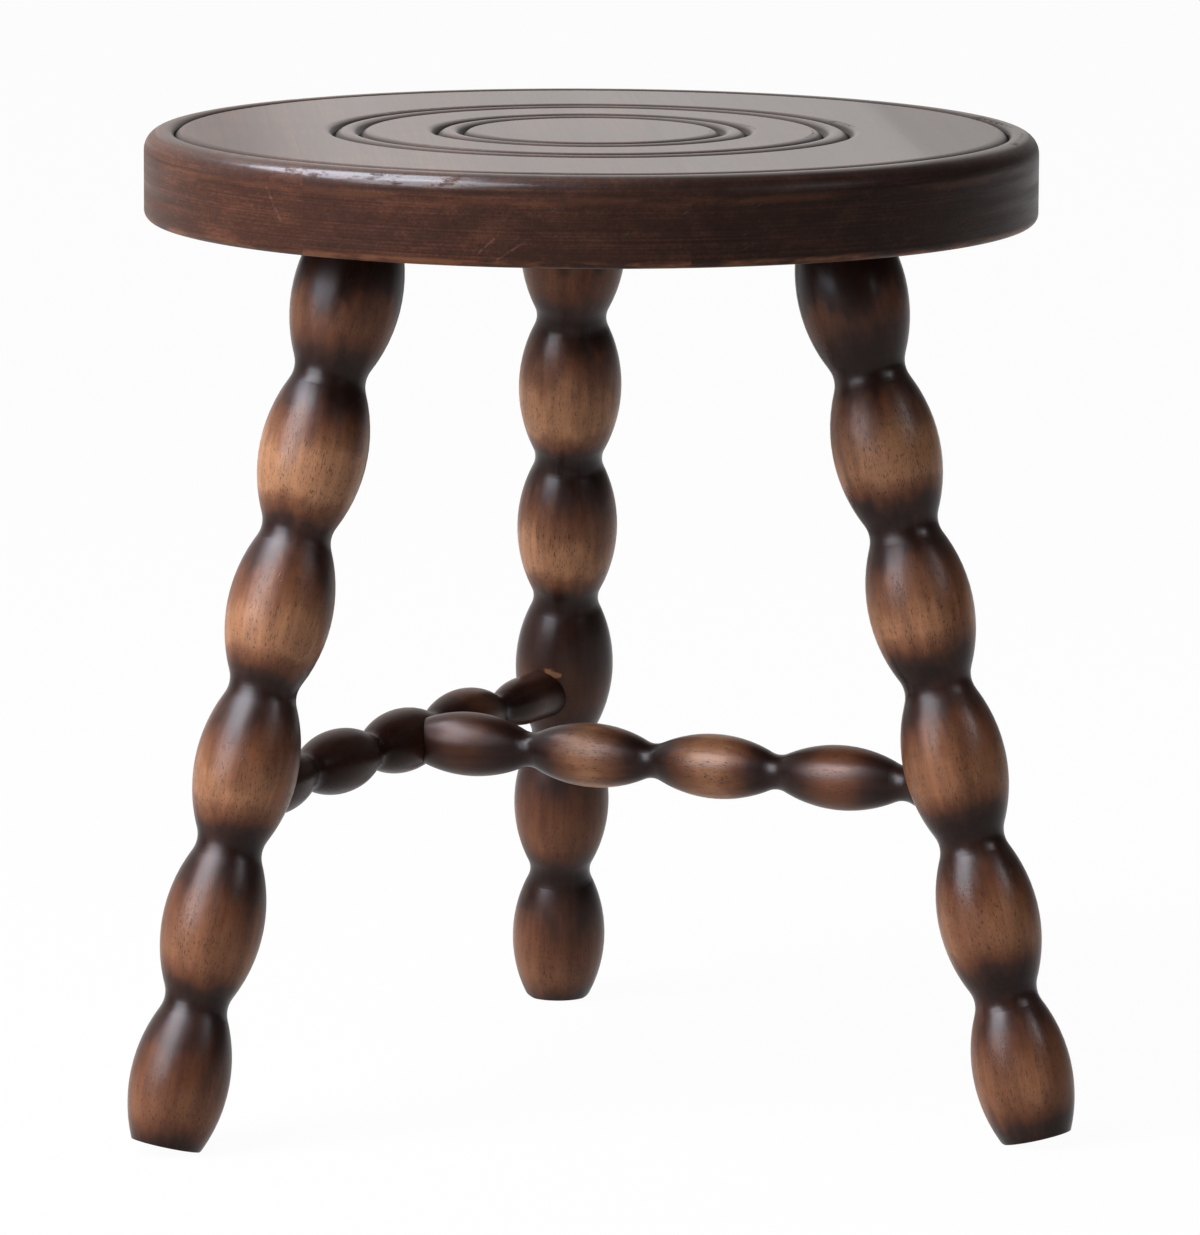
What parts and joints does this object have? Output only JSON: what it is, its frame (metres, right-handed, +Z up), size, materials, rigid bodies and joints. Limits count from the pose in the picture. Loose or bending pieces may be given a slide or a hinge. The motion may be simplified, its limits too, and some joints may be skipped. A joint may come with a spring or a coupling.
{
  "type": "spindle stool",
  "caption": "Low round-seated wooden stool on splayed bobbin-turned legs braced by a T-shaped turned stretcher, with turned rings on the seat.",
  "frame": {"origin": "on the floor, under the middle of the round seat", "axes": "+Z up, square to the seat; +Y towards the back leg; +X to the sitter's right when facing the side with two legs"},
  "size_m": [0.3358, 0.3513, 0.3519],
  "materials": {
    "seat_wood": "dark stained and lacquered, satin",
    "turned_wood": "dark stain rubbed lighter on the bellies, satin lacquer"
  },
  "bodies": {
    "root": {"seat_board_left": "seat_wood", "seat_board_middle": "seat_wood", "seat_board_right": "seat_wood", "leg_back": "turned_wood", "leg_left": "turned_wood", "leg_right": "turned_wood", "side_stretcher": "turned_wood", "cross_stretcher": "turned_wood"}
  },
  "joints": []
}
